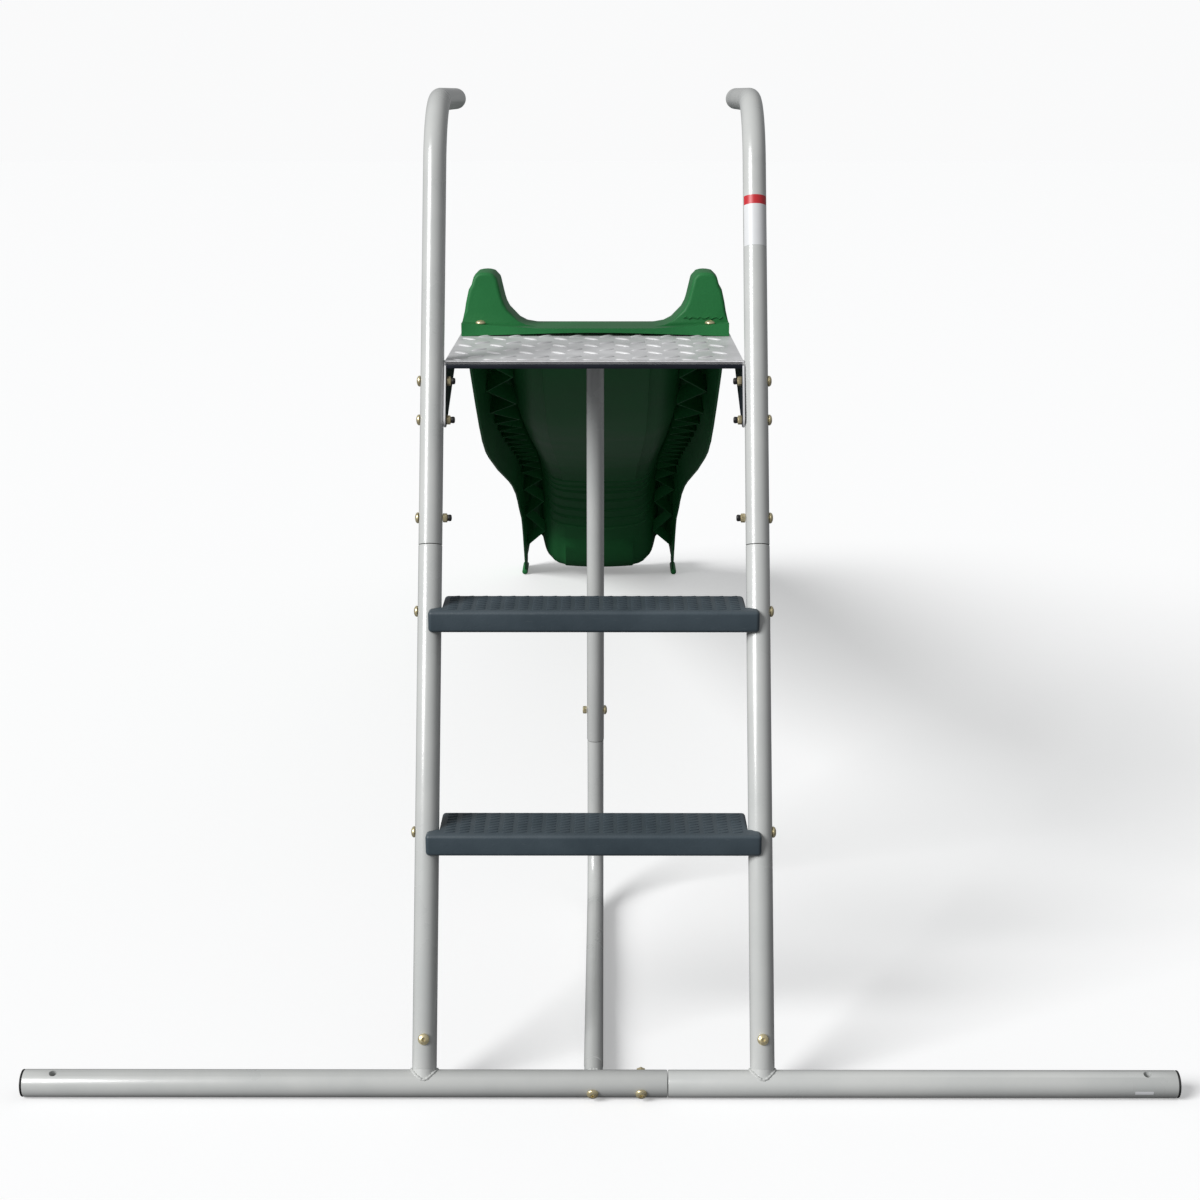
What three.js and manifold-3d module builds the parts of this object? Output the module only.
// Free-standing slide ladder: a leaning two-step ladder with handrails and a
// tread-plate deck, a long two-piece ground bar, a centre post on a bent foot
// tube, and a moulded wave slide screwed to the deck and running away behind.
// Millimetres, +Z up. The ladder is climbed towards +Y, +X is to the climber's
// right, and the origin is under the middle of the footprint.
import * as THREE from 'three';
import { mergeVertices } from 'three/addons/utils/BufferGeometryUtils.js';
import Module from 'manifold-3d';

const wasm = await Module();
wasm.setup();

// ---- driving dimensions ----
const GAP = 0.3; // clearance between touching pieces
const TUBE_SIDES = 24;

const BAR_LENGTH = 1790;
const BAR_RADIUS = 21;
const BAR_WALL = 2;
const BAR_JOINT_X = 105; // where the two halves meet
const BAR_SPIGOT = 137; // length of the right half pushed into the left half
const BAR_ROLL = THREE.MathUtils.degToRad(17); // the bar sits rolled towards the climber
const STAKE_X = 845;
const STAKE_RADIUS = 6;

const LADDER_X = -10; // middle of the ladder along the bar
const RAIL_HALF = 262; // half the distance between rail centres
const RAIL_RADIUS = 19;
const RAIL_WALL = 1.5;
const LEAN = THREE.MathUtils.degToRad(21.5); // ladder leaning back from upright
const STUB_LENGTH = 23; // welded stub that shows below the rail, along the rail
const RAIL_JOINT = 843; // end of the lower rail, along the rail
const SPIGOT_LENGTH = 85;
const SWAGE = 15; // length of tube squeezed down behind each spigot
const HANDRAIL_HEIGHT = 1495; // centre line of the level part
const HANDRAIL_BEND = 160;
const HANDRAIL_END = 1030; // reach of the level part from the bar, along Y

const TREAD_TOPS = { lower: 389, upper: 715 };
const TREAD_HEIGHT = 35;
const TREAD_DEPTH = 104;
const TREAD_LIP = 33; // front face ahead of the rail centre line
const TREAD_WALL = 5;

const DECK_TOP = 1085;
const DECK_FRONT = 408;
const DECK_REAR = 830;
const DECK_HALF = 242.4;
const SHEET = 3;

const POST_Y = 780;
const POST_RADIUS = 15.9;
const FOOT_RADIUS = 15.2;
const POST_WALL = 1.5;
const POST_JOINT_HEIGHT = 316;
const FOOT_BEND = 110;

const SLIDE_FRONT = 752;
const SLIDE_WALL = 5;
const BOLT_RADIUS = 4; // M8 throughout
const NUT_HEIGHT = 7;

// ---- finishes ----
function finish(colour, roughness, metalness) {
  return new THREE.MeshStandardMaterial({ color: colour, roughness, metalness });
}
const greyPaint = () => finish(0xd5d9dc, 0.32, 0.25);
const deckPaint = () => finish(0xc4c4c8, 0.45, 0.3);
const slatePlastic = () => finish(0x3b444a, 0.6, 0);
const greenPlastic = () => finish(0x1f6b38, 0.45, 0);
const blackPlastic = () => finish(0x141516, 0.5, 0);
const yellowZinc = () => finish(0xc8b45a, 0.3, 0.9);

// ---- solids ----
function solid(geometry) {
  const bare = geometry.clone();
  bare.deleteAttribute('normal');
  bare.deleteAttribute('uv');
  const merged = mergeVertices(bare, 1e-4);
  return new wasm.Manifold(new wasm.Mesh({
    numProp: 3,
    vertProperties: merged.attributes.position.array,
    triVerts: Uint32Array.from(merged.index.array),
  }));
}

function geometryOf(body) {
  const { vertProperties, triVerts } = body.getMesh();
  const geometry = new THREE.BufferGeometry();
  geometry.setAttribute('position', new THREE.BufferAttribute(vertProperties, 3));
  geometry.setIndex(new THREE.BufferAttribute(triVerts, 1));
  geometry.computeVertexNormals();
  return geometry;
}

const model = new THREE.Group();

function addPiece(name, body, material) {
  const mesh = new THREE.Mesh(geometryOf(body), material);
  mesh.name = name;
  model.add(mesh);
}

// A round rod from one point to another.
function rod(from, to, radius, sides = TUBE_SIDES) {
  const axis = to.clone().sub(from);
  const geometry = new THREE.CylinderGeometry(radius, radius, axis.length(), sides);
  const turn = new THREE.Quaternion().setFromUnitVectors(new THREE.Vector3(0, 1, 0), axis.normalize());
  geometry.applyQuaternion(turn);
  const middle = from.clone().add(to).multiplyScalar(0.5);
  geometry.translate(middle.x, middle.y, middle.z);
  return solid(geometry);
}

// A box from its low corner to its high corner.
function block(low, high) {
  const size = high.clone().sub(low);
  const geometry = new THREE.BoxGeometry(size.x, size.y, size.z);
  const middle = low.clone().add(high).multiplyScalar(0.5);
  geometry.translate(middle.x, middle.y, middle.z);
  return solid(geometry);
}

function tube(from, to, radius, wall) {
  const reach = to.clone().sub(from).setLength(1);
  const bore = rod(from.clone().sub(reach), to.clone().add(reach), radius - wall);
  return rod(from, to, radius).subtract(bore);
}

// Solid end of a tube squeezed down to a spigot: full size from root to
// shoulder, then the spigot's radius on to the tip.
function swagedEnd(root, shoulder, tip, tubeRadius, spigotRadius) {
  return rod(root, shoulder, tubeRadius).add(rod(root, tip, spigotRadius));
}

function point(x, y, z) {
  return new THREE.Vector3(x, y, z);
}

// The ladder's own directions: up the rail, and out of its front.
const alongRail = point(0, Math.sin(LEAN), Math.cos(LEAN));
const outOfFront = point(0, -Math.cos(LEAN), Math.sin(LEAN));
const sideways = point(1, 0, 0);

function railPoint(side, distance) {
  return point(LADDER_X + side * RAIL_HALF, 0, BAR_RADIUS).addScaledVector(alongRail, distance);
}

function railDistanceAtHeight(height) {
  return (height - BAR_RADIUS) / Math.cos(LEAN);
}

function drill(body, through, direction, radius, reach) {
  const half = direction.clone().multiplyScalar(reach);
  return body.subtract(rod(through.clone().sub(half), through.clone().add(half), radius, 12));
}

// ---- fasteners ----
const BOLT_HOLE = BOLT_RADIUS + GAP;
const HEAD_RADIUS = 9;
const HEAD_HEIGHT = 5;
const BOLT_SIDES = 12;

// Spun pieces are made upright along +Y, then turned so that +Y looks outward.
function placeSpun(geometry, origin, outward) {
  const turn = new THREE.Quaternion().setFromUnitVectors(new THREE.Vector3(0, 1, 0), outward);
  geometry.applyQuaternion(turn);
  geometry.translate(origin.x, origin.y, origin.z);
  return solid(geometry);
}

function spun(profile) {
  return new THREE.LatheGeometry(profile.map(([r, h]) => new THREE.Vector2(r, h)), BOLT_SIDES);
}

// Dome-headed bolt: the flat under the head is at height 0.
function boltGeometry(shank) {
  return spun([
    [0, -shank], [BOLT_RADIUS, -shank], [BOLT_RADIUS, 0], [HEAD_RADIUS, 0],
    [HEAD_RADIUS, HEAD_HEIGHT * 0.25], [HEAD_RADIUS * 0.78, HEAD_HEIGHT * 0.75],
    [HEAD_RADIUS * 0.4, HEAD_HEIGHT], [0, HEAD_HEIGHT],
  ]);
}

// Black cap pushed over the end of a bolt, with its mouth at height 0.
function threadCapGeometry() {
  const outer = BOLT_RADIUS + 2;
  const inner = BOLT_RADIUS + GAP;
  return spun([
    [0, 3], [inner, 3], [inner, 0], [outer, 0], [outer, 4], [outer * 0.7, 6.5], [0, 7],
  ]);
}

function nutGeometry() {
  const acrossFlats = 13;
  const corner = acrossFlats / 2 / Math.cos(Math.PI / 6);
  const hexagon = new THREE.Shape();
  for (let i = 0; i < 6; i += 1) {
    const angle = (i * Math.PI) / 3;
    hexagon[i ? 'lineTo' : 'moveTo'](corner * Math.cos(angle), corner * Math.sin(angle));
  }
  hexagon.closePath();
  hexagon.holes.push(new THREE.Path().absarc(0, 0, BOLT_HOLE, 0, 2 * Math.PI, true));
  const geometry = new THREE.ExtrudeGeometry(hexagon, {
    depth: NUT_HEIGHT, bevelEnabled: false, curveSegments: BOLT_SIDES / 2,
  });
  return geometry.rotateX(Math.PI / 2); // its seat is at height 0 and it hangs below
}

// A screw on its own: seat is the point under the head, outward looks along the head.
function addScrew(place, seat, outward, length) {
  addPiece(`${place}_bolt`, placeSpun(boltGeometry(length), seat, outward), yellowZinc());
}

// A bolt with its nut, and a cap when asked; grip is the distance from the seat
// to the nut.
function addBolt(place, seat, outward, grip, capped = false) {
  const spare = capped ? 3 : 1;
  const onAxis = (distance) => seat.clone().addScaledVector(outward, -distance);
  addScrew(place, seat, outward, grip + GAP + NUT_HEIGHT + spare);
  addPiece(`${place}_nut`, placeSpun(nutGeometry(), onAxis(grip + GAP), outward), yellowZinc());
  if (capped) {
    const inward = outward.clone().negate();
    const capStart = onAxis(grip + NUT_HEIGHT + 2 * GAP);
    addPiece(`${place}_cap`, placeSpun(threadCapGeometry(), capStart, inward), blackPlastic());
  }
}

const SIDES = { left: -1, right: 1 };
const socketBoltDistance = 69;
const railJointBoltDistance = 887;
const deckBoltDistances = { high: 1111, low: 1047 };
const treadBoltHeights = { lower: 381, upper: 706 };
const TREAD_SCREW = 70; // length of the screws in the ends of the treads
const railBoltClearance = RAIL_RADIUS + GAP;

// ---- ground bar ----
const barAxisPoint = (x) => point(x, 0, BAR_RADIUS);
const stakeAxis = point(0, -Math.sin(BAR_ROLL), Math.cos(BAR_ROLL));
const barBoltAxis = point(0, -Math.cos(BAR_ROLL), -Math.sin(BAR_ROLL));
const barBoltXs = { inner: -11, outer: 64 };
const railSpigotRadius = RAIL_RADIUS - RAIL_WALL - 0.5;
const footSpigotRadius = FOOT_RADIUS - POST_WALL - 0.5;
const FOOT_START = 58; // strut tube starts this far behind the bar's centre
const FOOT_SPIGOT_END = 130;

// Welded stub on the bar with a thinner spigot that the rail slides over.
function railStub(side) {
  const foot = railPoint(side, 0);
  const shoulder = railPoint(side, STUB_LENGTH);
  const tip = railPoint(side, STUB_LENGTH + SPIGOT_LENGTH);
  return rod(foot, shoulder, RAIL_RADIUS - 0.6).add(rod(foot, tip, railSpigotRadius));
}

function railStubBore(side) {
  const tip = railPoint(side, STUB_LENGTH + SPIGOT_LENGTH + 1);
  return rod(railPoint(side, 0), tip, railSpigotRadius - 2);
}

function barHalf(side, from, to) {
  let body = rod(barAxisPoint(from), barAxisPoint(to), BAR_RADIUS).add(railStub(side));
  let bore = rod(barAxisPoint(from - 1), barAxisPoint(to + 1), BAR_RADIUS - BAR_WALL);
  bore = bore.add(railStubBore(side));
  return { body, bore };
}

function finishBarHalf(body, side) {
  let drilled = drill(body, barAxisPoint(side * STAKE_X), stakeAxis, STAKE_RADIUS, 40);
  drilled = drill(drilled, railPoint(side, socketBoltDistance), outOfFront, BOLT_HOLE, 40);
  return drilled;
}

function drillBarJoint(body) {
  let drilled = body;
  const frontWall = barAxisPoint(barBoltXs.inner).addScaledVector(barBoltAxis, BAR_RADIUS);
  drilled = drill(drilled, frontWall, barBoltAxis, BOLT_HOLE, BAR_RADIUS);
  return drill(drilled, barAxisPoint(barBoltXs.outer), barBoltAxis, BOLT_HOLE, 40);
}

const CAP_RIM = 3;
const barEnd = BAR_LENGTH / 2 - CAP_RIM - GAP;

function addGroundBar() {
  const left = barHalf(SIDES.left, -barEnd, BAR_JOINT_X);
  const strutFoot = (y) => point(LADDER_X, y, BAR_RADIUS);
  const strutStub = rod(strutFoot(0), strutFoot(FOOT_START - GAP), FOOT_RADIUS - 0.7)
    .add(rod(strutFoot(0), strutFoot(FOOT_SPIGOT_END), footSpigotRadius));
  const strutBore = rod(strutFoot(0), strutFoot(FOOT_SPIGOT_END + 1), footSpigotRadius - 2);
  const leftBody = left.body.add(strutStub).subtract(left.bore.add(strutBore));
  addPiece('base_bar_left', drillBarJoint(finishBarHalf(leftBody, SIDES.left)), greyPaint());

  const right = barHalf(SIDES.right, BAR_JOINT_X + GAP, barEnd);
  const spigotStart = barAxisPoint(BAR_JOINT_X - BAR_SPIGOT);
  const spigotRadius = BAR_RADIUS - BAR_WALL - 0.5;
  const spigot = swagedEnd(barAxisPoint(BAR_JOINT_X + SWAGE), barAxisPoint(BAR_JOINT_X + GAP), spigotStart,
    BAR_RADIUS, spigotRadius);
  const spigotBore = rod(barAxisPoint(BAR_JOINT_X - BAR_SPIGOT - 1), barAxisPoint(BAR_JOINT_X + SWAGE + 1),
    spigotRadius - BAR_WALL);
  const shell = right.body.subtract(right.bore).add(spigot).subtract(spigotBore);
  addPiece('base_bar_right', drillBarJoint(finishBarHalf(shell, SIDES.right)), greyPaint());

  for (const [word, side] of Object.entries(SIDES)) {
    const face = barAxisPoint(side * (barEnd + GAP));
    const rim = rod(face, barAxisPoint((side * BAR_LENGTH) / 2), BAR_RADIUS);
    const plug = rod(barAxisPoint(side * (barEnd - 18)), face, BAR_RADIUS - BAR_WALL - 0.5);
    addPiece(`base_end_cap_${word}`, rim.add(plug), blackPlastic());
  }

  // The inner joint screw stops inside the bar, because the strut stub is behind it.
  const barBoltSeat = (x) => barAxisPoint(x).addScaledVector(barBoltAxis, BAR_RADIUS + GAP);
  addScrew('base_joint_inner', barBoltSeat(barBoltXs.inner), barBoltAxis, BAR_RADIUS);
  addBolt('base_joint_outer', barBoltSeat(barBoltXs.outer), barBoltAxis, 2 * (BAR_RADIUS + GAP));
}

// ---- rails ----
function addLowerRail(word, side) {
  const start = railPoint(side, STUB_LENGTH + GAP);
  const end = railPoint(side, RAIL_JOINT);
  const spigotRoot = railPoint(side, RAIL_JOINT - SWAGE);
  const spigotTip = railPoint(side, RAIL_JOINT + SPIGOT_LENGTH);
  const spigotBore = rod(railPoint(side, RAIL_JOINT - SWAGE - 1), railPoint(side, RAIL_JOINT + SPIGOT_LENGTH + 1),
    railSpigotRadius - RAIL_WALL);
  let rail = tube(start, end, RAIL_RADIUS, RAIL_WALL)
    .add(swagedEnd(spigotRoot, end, spigotTip, RAIL_RADIUS, railSpigotRadius))
    .subtract(spigotBore);
  rail = drill(rail, railPoint(side, socketBoltDistance), outOfFront, BOLT_HOLE, 40);
  rail = drill(rail, railPoint(side, railJointBoltDistance), sideways, BOLT_HOLE, 40);
  for (const height of Object.values(treadBoltHeights)) {
    rail = drill(rail, railPoint(side, railDistanceAtHeight(height)), sideways, BOLT_HOLE, 40);
  }
  addPiece(`lower_rail_${word}`, rail, greyPaint());
}

// Centre line of a tube with two straight ends and one bend between them, in
// the plane through the two directions. Stations crowd into the bend.
class BentLine extends THREE.Curve {
  constructor(start, corner, end, radius, bendSteps) {
    super();
    this.start = start;
    this.end = end;
    this.into = corner.clone().sub(start).normalize();
    this.outOf = end.clone().sub(corner).normalize();
    this.turn = this.into.angleTo(this.outOf);
    const setback = radius * Math.tan(this.turn / 2);
    this.bendStart = corner.clone().addScaledVector(this.into, -setback);
    this.bendEnd = corner.clone().addScaledVector(this.outOf, setback);
    const inward = this.outOf.clone().addScaledVector(this.into, -this.into.dot(this.outOf)).normalize();
    this.centre = this.bendStart.clone().addScaledVector(inward, radius);
    this.inward = inward;
    this.radius = radius;
    this.steps = bendSteps + 2;
  }

  getPointAt(u, target = new THREE.Vector3()) {
    const station = u * this.steps;
    if (station <= 1) return target.lerpVectors(this.start, this.bendStart, station);
    if (station >= this.steps - 1) {
      return target.lerpVectors(this.bendEnd, this.end, station - this.steps + 1);
    }
    const angle = (this.turn * (station - 1)) / (this.steps - 2);
    return target.copy(this.centre)
      .addScaledVector(this.inward, -this.radius * Math.cos(angle))
      .addScaledVector(this.into, this.radius * Math.sin(angle));
  }

  getTangentAt(u, target = new THREE.Vector3()) {
    const station = u * this.steps;
    const share = THREE.MathUtils.clamp((station - 1) / (this.steps - 2), 0, 1);
    const angle = this.turn * share;
    return target.copy(this.into).multiplyScalar(Math.cos(angle))
      .addScaledVector(this.inward, Math.sin(angle));
  }
}

function bentTube(line, radius, wall) {
  const ring = new THREE.Shape().absarc(0, 0, radius, 0, 2 * Math.PI, false);
  ring.holes.push(new THREE.Path().absarc(0, 0, radius - wall, 0, 2 * Math.PI, true));
  return solid(new THREE.ExtrudeGeometry(ring, {
    steps: line.steps, extrudePath: line, curveSegments: TUBE_SIDES / 2, bevelEnabled: false,
  }));
}

function addHandrail(word, side) {
  const start = railPoint(side, RAIL_JOINT + GAP);
  const corner = railPoint(side, railDistanceAtHeight(HANDRAIL_HEIGHT));
  const end = point(corner.x, HANDRAIL_END - 4, HANDRAIL_HEIGHT);
  let rail = bentTube(new BentLine(start, corner, end, HANDRAIL_BEND, 9), RAIL_RADIUS, RAIL_WALL);
  for (const distance of [railJointBoltDistance, ...Object.values(deckBoltDistances)]) {
    rail = drill(rail, railPoint(side, distance), sideways, BOLT_HOLE, 40);
  }
  addPiece(`handrail_${word}`, rail, greyPaint());

  const plugBody = rod(point(corner.x, HANDRAIL_END - 25, HANDRAIL_HEIGHT),
    point(corner.x, HANDRAIL_END, HANDRAIL_HEIGHT), RAIL_RADIUS - RAIL_WALL - 0.5);
  const plugRim = rod(point(corner.x, HANDRAIL_END - 4 + GAP, HANDRAIL_HEIGHT),
    point(corner.x, HANDRAIL_END, HANDRAIL_HEIGHT), RAIL_RADIUS);
  addPiece(`handrail_plug_${word}`, plugBody.add(plugRim), greyPaint());
}

function addRailBolts(word, side) {
  const outward = sideways.clone().multiplyScalar(side);
  const fullGrip = 2 * railBoltClearance;
  const socketSeat = railPoint(side, socketBoltDistance).addScaledVector(outOfFront, railBoltClearance);
  addBolt(`socket_${word}`, socketSeat, outOfFront, fullGrip);
  const jointSeat = railPoint(side, railJointBoltDistance).addScaledVector(outward, railBoltClearance);
  addBolt(`rail_joint_${word}`, jointSeat, outward, fullGrip, true);
  const flangeInner = RAIL_HALF - DECK_HALF + SHEET; // from the rail centre to the flange's inner face
  for (const [level, distance] of Object.entries(deckBoltDistances)) {
    const seat = railPoint(side, distance).addScaledVector(outward, railBoltClearance);
    addBolt(`deck_${level}_${word}`, seat, outward, railBoltClearance + flangeInner + GAP, true);
  }
}

// ---- treads ----
const TREAD_BLOCK = 205; // solid ends of the moulding start this far from its middle
const treadRoundness = 6;

// Side outline of a tread, with rounded front edges, drawn as (y, z) from its
// lower front corner.
function treadOutline(depth, height, round) {
  const outline = new THREE.Shape();
  outline.moveTo(depth, 0);
  outline.lineTo(depth, height);
  outline.lineTo(round, height);
  outline.absarc(round, height - round, round, Math.PI / 2, Math.PI, false);
  outline.absarc(round / 2, round / 2, round / 2, Math.PI, 1.5 * Math.PI, false);
  outline.closePath();
  return outline;
}

// Extrudes a (y, z) outline across the ladder, from -half to +half.
function acrossLadder(outline, half, y, z) {
  const geometry = new THREE.ExtrudeGeometry(outline, {
    depth: 2 * half, bevelEnabled: false, curveSegments: 3,
  });
  geometry.rotateY(Math.PI / 2).rotateX(Math.PI / 2); // (y, z, x) order of the outline
  geometry.translate(LADDER_X - half, y, z);
  return solid(geometry);
}

function addTread(level) {
  const top = TREAD_TOPS[level];
  const bottom = top - TREAD_HEIGHT;
  const middle = railPoint(0, railDistanceAtHeight(top - TREAD_HEIGHT / 2));
  const front = middle.y - TREAD_LIP;
  const wide = treadOutline(TREAD_LIP - 2, TREAD_HEIGHT, treadRoundness);
  const deep = treadOutline(TREAD_DEPTH, TREAD_HEIGHT, treadRoundness);
  const betweenRails = RAIL_HALF - RAIL_RADIUS - GAP;
  let tread = acrossLadder(wide, RAIL_HALF, front, bottom)
    .add(acrossLadder(deep, betweenRails, front, bottom));
  for (const side of Object.values(SIDES)) {
    const low = railPoint(side, railDistanceAtHeight(bottom - 30));
    const high = railPoint(side, railDistanceAtHeight(top + 30));
    tread = tread.subtract(rod(low, high, RAIL_RADIUS + 2 * GAP));
  }
  const bays = 4;
  const pitch = (2 * TREAD_BLOCK) / bays;
  for (let i = 0; i < bays; i += 1) {
    const left = LADDER_X - TREAD_BLOCK + i * pitch;
    tread = tread.subtract(block(
      point(left + (i ? TREAD_WALL / 2 : 0), front + TREAD_WALL, bottom - 1),
      point(left + pitch - (i < bays - 1 ? TREAD_WALL / 2 : 0), front + TREAD_DEPTH - TREAD_WALL,
        top - TREAD_WALL),
    ));
  }
  const boltDistance = railDistanceAtHeight(treadBoltHeights[level]);
  for (const [word, side] of Object.entries(SIDES)) {
    const outward = sideways.clone().multiplyScalar(side);
    const seat = railPoint(side, boltDistance).addScaledVector(outward, railBoltClearance);
    tread = drill(tread, seat, sideways, BOLT_HOLE, TREAD_SCREW + GAP);
    addScrew(`tread_${level}_${word}`, seat, outward, TREAD_SCREW);
  }
  addPiece(`tread_${level}`, tread, slatePlastic());
}

// ---- deck ----
const SOCKET_DEPTH = 48;
const slideScrewX = 205;
const slideScrewY = 764;
const postBoltHeight = DECK_TOP - 30;

// Tapered gusset that hangs from each side of the deck and lies along the rail.
function gussetOutline() {
  const low = railPoint(0, deckBoltDistances.low);
  const margin = 12;
  const outline = new THREE.Shape();
  outline.moveTo(DECK_FRONT, DECK_TOP);
  outline.lineTo(low.y - margin * Math.cos(LEAN), low.z + margin * Math.sin(LEAN));
  outline.absarc(low.y, low.z, margin, Math.PI - LEAN, 2 * Math.PI - Math.PI / 3, false);
  outline.lineTo(640, DECK_TOP - 12);
  outline.lineTo(DECK_REAR, DECK_TOP - 12);
  outline.lineTo(DECK_REAR, DECK_TOP);
  outline.closePath();
  return outline;
}

function addDeck() {
  const corner = (x, y, z) => point(LADDER_X + x, y, z);
  let deck = block(corner(-DECK_HALF, DECK_FRONT, DECK_TOP - SHEET), corner(DECK_HALF, DECK_REAR, DECK_TOP));
  deck = deck.add(block(corner(-DECK_HALF, DECK_FRONT, DECK_TOP - 9),
    corner(DECK_HALF, DECK_FRONT + SHEET, DECK_TOP)));
  deck = deck.add(block(corner(-DECK_HALF, DECK_REAR - SHEET, DECK_TOP - 20),
    corner(DECK_HALF, DECK_REAR, DECK_TOP)));
  const gusset = acrossLadder(gussetOutline(), SHEET / 2, 0, 0);
  for (const side of Object.values(SIDES)) {
    deck = deck.add(gusset.translate([side * (DECK_HALF - SHEET / 2), 0, 0]));
  }
  const socketFoot = corner(0, POST_Y, DECK_TOP - SOCKET_DEPTH);
  const socketRoot = corner(0, POST_Y, DECK_TOP - SHEET / 2);
  const socketBore = rod(corner(0, POST_Y, DECK_TOP - SOCKET_DEPTH - 1), corner(0, POST_Y, DECK_TOP - SHEET),
    POST_RADIUS + 0.5);
  deck = deck.add(rod(socketFoot, socketRoot, POST_RADIUS + 3)).subtract(socketBore);
  for (const distance of Object.values(deckBoltDistances)) {
    deck = drill(deck, railPoint(0, distance), sideways, BOLT_HOLE, DECK_HALF + 20);
  }
  deck = drill(deck, corner(0, POST_Y, postBoltHeight), sideways, BOLT_HOLE, 40);
  for (const side of Object.values(SIDES)) {
    deck = drill(deck, corner(side * slideScrewX, slideScrewY, DECK_TOP), point(0, 0, 1), BOLT_HOLE, 10);
  }
  addPiece('platform_plate', deck, deckPaint());
}

// ---- centre post ----
function addPost() {
  const axisPoint = (z) => point(LADDER_X, POST_Y, z);
  const postJointBolt = axisPoint(POST_JOINT_HEIGHT + 60);
  const postHeadBolt = axisPoint(postBoltHeight);
  let post = tube(axisPoint(POST_JOINT_HEIGHT + GAP), axisPoint(DECK_TOP - SHEET - GAP), POST_RADIUS, POST_WALL);
  post = drill(post, postJointBolt, sideways, BOLT_HOLE, 40);
  post = drill(post, postHeadBolt, sideways, BOLT_HOLE, 40);
  addPiece('post_upper', post, greyPaint());

  const foot = point(LADDER_X, FOOT_START, BAR_RADIUS);
  const corner = point(LADDER_X, POST_Y, BAR_RADIUS);
  const bent = bentTube(new BentLine(foot, corner, axisPoint(POST_JOINT_HEIGHT), FOOT_BEND, 9),
    FOOT_RADIUS, POST_WALL);
  const spigotRadius = POST_RADIUS - POST_WALL - 0.6;
  const spigotTip = axisPoint(POST_JOINT_HEIGHT + SPIGOT_LENGTH);
  const spigot = swagedEnd(axisPoint(POST_JOINT_HEIGHT - SWAGE), axisPoint(POST_JOINT_HEIGHT), spigotTip,
    FOOT_RADIUS, spigotRadius);
  const spigotBore = rod(axisPoint(POST_JOINT_HEIGHT - SWAGE - 1), axisPoint(POST_JOINT_HEIGHT + SPIGOT_LENGTH + 1),
    spigotRadius - POST_WALL);
  let lower = bent.add(spigot).subtract(spigotBore);
  lower = drill(lower, postJointBolt, sideways, BOLT_HOLE, 40);
  addPiece('strut_lower', lower, greyPaint());

  const clearance = POST_RADIUS + GAP;
  addBolt('post_joint', postJointBolt.addScaledVector(sideways, clearance), sideways, 2 * clearance);
  const socketClearance = POST_RADIUS + 3 + GAP;
  addBolt('post_head', postHeadBolt.addScaledVector(sideways, socketClearance), sideways, 2 * socketClearance);
}

// ---- slide ----
const SLIDE_END = 3470;
const SLIDE_LEDGE = 1108; // top of the flange that is screwed down, level with the bed
const FLANGE_HALF = 239;
const WALL_ENDS = SLIDE_FRONT + 28; // the side walls stop behind the flange's front edge
const RIM_HEIGHT = 87; // side walls above the bed
const SKIRT_REACH = 130;
const EXIT_HEIGHT = 45;

// Bed's top face at its middle, as (y, z).
const BED_LINE = [
  [WALL_ENDS, SLIDE_LEDGE], [865, SLIDE_LEDGE], [940, 1091], [1028, 1046], [1178, 950], [1277, 892],
  [1363, 847], [1470, 805], [1580, 772], [1917, 680], [2453, 545], [2638, 496], [2852, 428],
  [2967, 382], [3060, 320], [3150, 242], [3220, 158], [3270, 100], [3315, 62], [3385, 47],
  [SLIDE_END, EXIT_HEIGHT],
];

// Lower edge of the side skirts, as (y, z): on the deck, down behind it, along
// the run, then down to the ground as two feet.
const SKIRT_LINE = [
  [SLIDE_FRONT, DECK_TOP + GAP], [DECK_REAR + 4, DECK_TOP + GAP], [DECK_REAR + 12, 1062], [925, 1040],
  [996, 995], [1147, 899], [1249, 839], [1339, 792], [1450, 748], [1563, 714], [1901, 622],
  [2438, 487], [2621, 438], [2831, 372], [2942, 328], [3114, 239], [3205, 165], [3285, 86], [3372, 0],
  [SLIDE_END, 0],
];

// Upper face of one half of the chute, as (x, height above the bed), from the
// bed's middle over the rim to the skirt's lower edge.
const CHUTE_HALF = [
  [0, 0], [105, 0], [125, 1], [139, 5], [149, 12], [158, 21], [164, 32], [168, 44], [172, 60],
  [176, 77], [183, 84], [197, RIM_HEIGHT], [211, 85], [218, 78], [222, 64], [227, 56], [232, 34],
  [239, 0], [242, -50], [250, -SKIRT_REACH],
];

function mirrored(line) {
  return line.slice(1).reverse().map((p) => new THREE.Vector2(-p.x, p.y));
}

// Closed band between the chute's upper face and the same line moved in by the wall.
function chuteOutline() {
  const half = CHUTE_HALF.map(([x, h]) => new THREE.Vector2(x, h));
  const inner = half.map((here, i) => {
    const before = half[Math.max(i - 1, 0)];
    const after = half[Math.min(i + 1, half.length - 1)];
    const direction = after.clone().sub(before).normalize();
    return new THREE.Vector2(here.x + direction.y * SLIDE_WALL, here.y - direction.x * SLIDE_WALL);
  });
  const upper = [...mirrored(half), ...half];
  const lower = [...mirrored(inner), ...inner];
  return new THREE.Shape([...lower, ...upper.reverse()]);
}

function bedCurve() {
  return new THREE.CatmullRomCurve3(BED_LINE.map(([y, z]) => point(LADDER_X, y, z)), false, 'centripetal');
}

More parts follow.
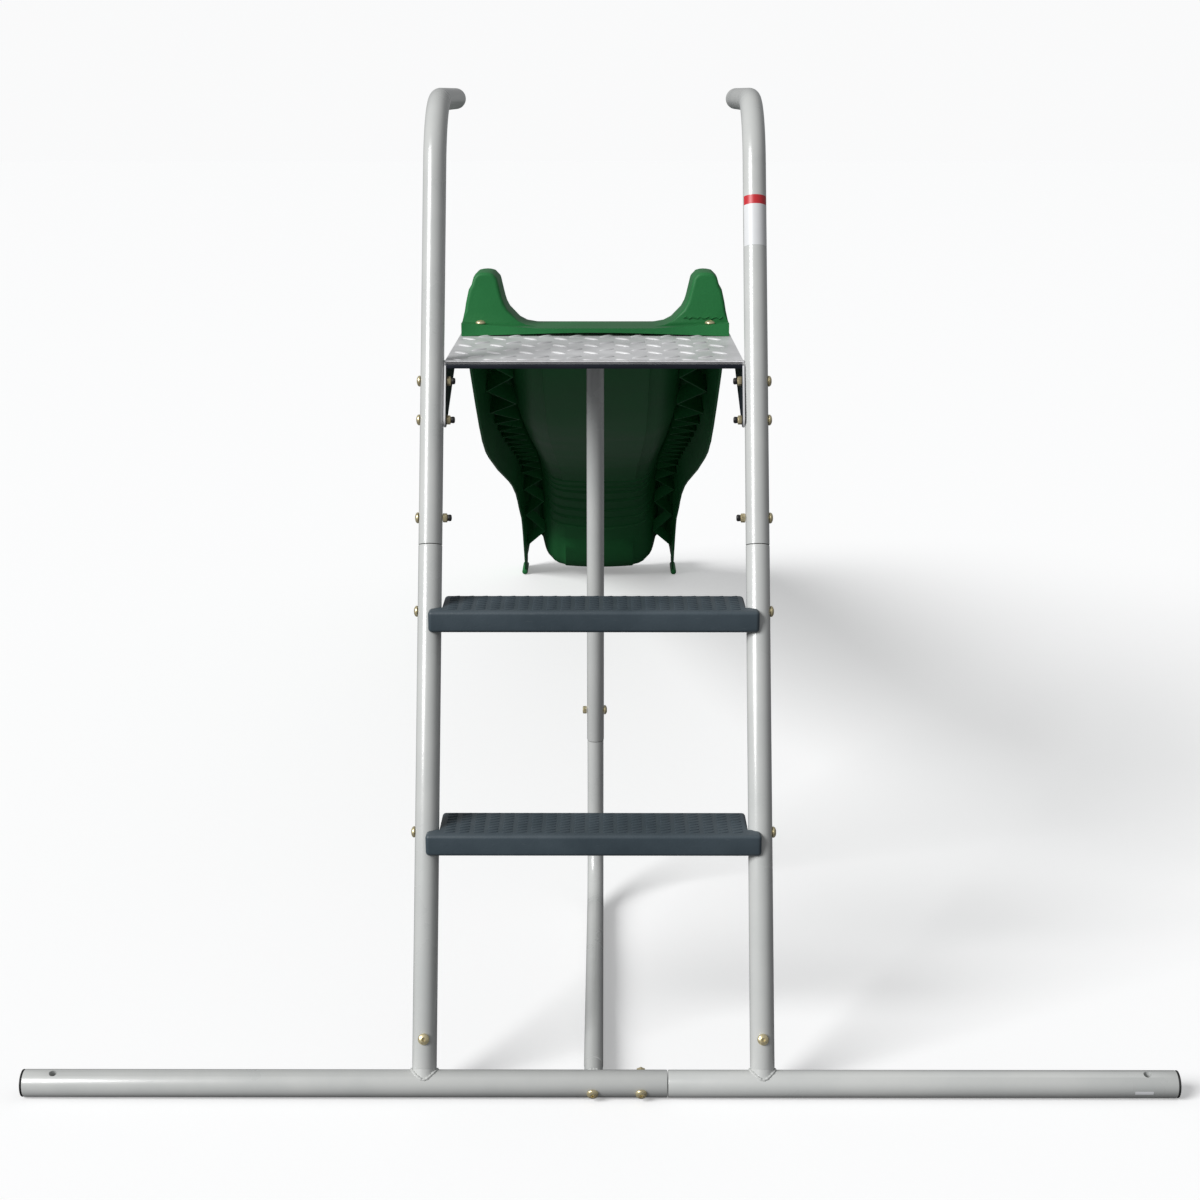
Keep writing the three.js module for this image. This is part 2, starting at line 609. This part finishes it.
// Side view of all the material the slide may fill: the skirt line below, and
// rounded corners where the side walls start and end.
function slideSideOutline() {
  const startRound = 30;
  const endRound = 60;
  const startRim = SLIDE_LEDGE + RIM_HEIGHT;
  const endRim = EXIT_HEIGHT + RIM_HEIGHT;
  const outline = new THREE.Shape(SKIRT_LINE.map(([y, z]) => new THREE.Vector2(y, z)));
  outline.absarc(SLIDE_END - endRound, endRim - endRound, endRound, 0, Math.PI / 2, false);
  outline.lineTo(SLIDE_END - endRound, startRim + 1);
  outline.lineTo(WALL_ENDS + startRound, startRim + 1);
  outline.absarc(WALL_ENDS + startRound, startRim - startRound, startRound, Math.PI / 2, Math.PI, false);
  outline.lineTo(WALL_ENDS, SLIDE_LEDGE);
  outline.lineTo(SLIDE_FRONT, SLIDE_LEDGE);
  outline.closePath();
  return outline;
}

// Plate standing across the slide, cut to an (x, z) outline.
function acrossSlide(outline, y) {
  const geometry = new THREE.ExtrudeGeometry(outline, {
    depth: SLIDE_WALL, bevelEnabled: false, curveSegments: 8,
  });
  geometry.rotateX(Math.PI / 2).translate(LADDER_X, y + SLIDE_WALL, 0);
  return solid(geometry);
}

// Front skirt under the flange, arched clear of the deck at its middle.
function archedSkirt() {
  const arch = 10;
  const archHalf = 190;
  const radius = (archHalf ** 2 + arch ** 2) / (2 * arch);
  const halfAngle = Math.asin(archHalf / radius);
  const foot = DECK_TOP + GAP;
  const outline = new THREE.Shape();
  outline.moveTo(FLANGE_HALF, foot);
  outline.lineTo(FLANGE_HALF, SLIDE_LEDGE);
  outline.lineTo(-FLANGE_HALF, SLIDE_LEDGE);
  outline.lineTo(-FLANGE_HALF, foot);
  outline.absarc(0, foot + arch - radius, radius, Math.PI / 2 + halfAngle, Math.PI / 2 - halfAngle, true);
  outline.closePath();
  return acrossSlide(outline, SLIDE_FRONT);
}

function addSlide() {
  const chute = solid(new THREE.ExtrudeGeometry(chuteOutline(), {
    steps: 40, extrudePath: bedCurve(), bevelEnabled: false,
  }));
  const section = CHUTE_HALF.map(([x, h]) => new THREE.Vector2(x, h + SLIDE_LEDGE));
  const wallEnds = acrossSlide(new THREE.Shape([...mirrored(section), ...section]), WALL_ENDS);
  const flange = block(point(LADDER_X - FLANGE_HALF, SLIDE_FRONT, SLIDE_LEDGE - SLIDE_WALL),
    point(LADDER_X + FLANGE_HALF, WALL_ENDS + SLIDE_WALL, SLIDE_LEDGE));
  const exitLip = block(point(LADDER_X - 135, SLIDE_END - SLIDE_WALL, EXIT_HEIGHT - 35),
    point(LADDER_X + 135, SLIDE_END, EXIT_HEIGHT - 1));
  let slide = chute.add(wallEnds).add(archedSkirt()).add(flange).add(exitLip);
  slide = slide.intersect(acrossLadder(slideSideOutline(), 300, 0, 0));
  for (const side of Object.values(SIDES)) {
    const hole = point(LADDER_X + side * slideScrewX, slideScrewY, SLIDE_LEDGE);
    slide = drill(slide, hole, point(0, 0, 1), BOLT_HOLE, 30);
  }
  addPiece('slide_chute', slide, greenPlastic());

  for (const [word, side] of Object.entries(SIDES)) {
    const seat = point(LADDER_X + side * slideScrewX, slideScrewY, SLIDE_LEDGE + GAP);
    addBolt(`slide_${word}`, seat, point(0, 0, 1), SLIDE_LEDGE - DECK_TOP + SHEET + 2 * GAP);
  }
}

// ---- assembly ----
addGroundBar();
for (const [word, side] of Object.entries(SIDES)) {
  addLowerRail(word, side);
  addHandrail(word, side);
  addRailBolts(word, side);
}
addTread('lower');
addTread('upper');
addDeck();
addPost();
addSlide();

// The origin goes under the middle of the footprint.
const extent = new THREE.Box3().setFromObject(model);
const footprintMiddle = extent.getCenter(new THREE.Vector3());
model.position.set(-footprintMiddle.x, -footprintMiddle.y, -extent.min.z);

export default model;
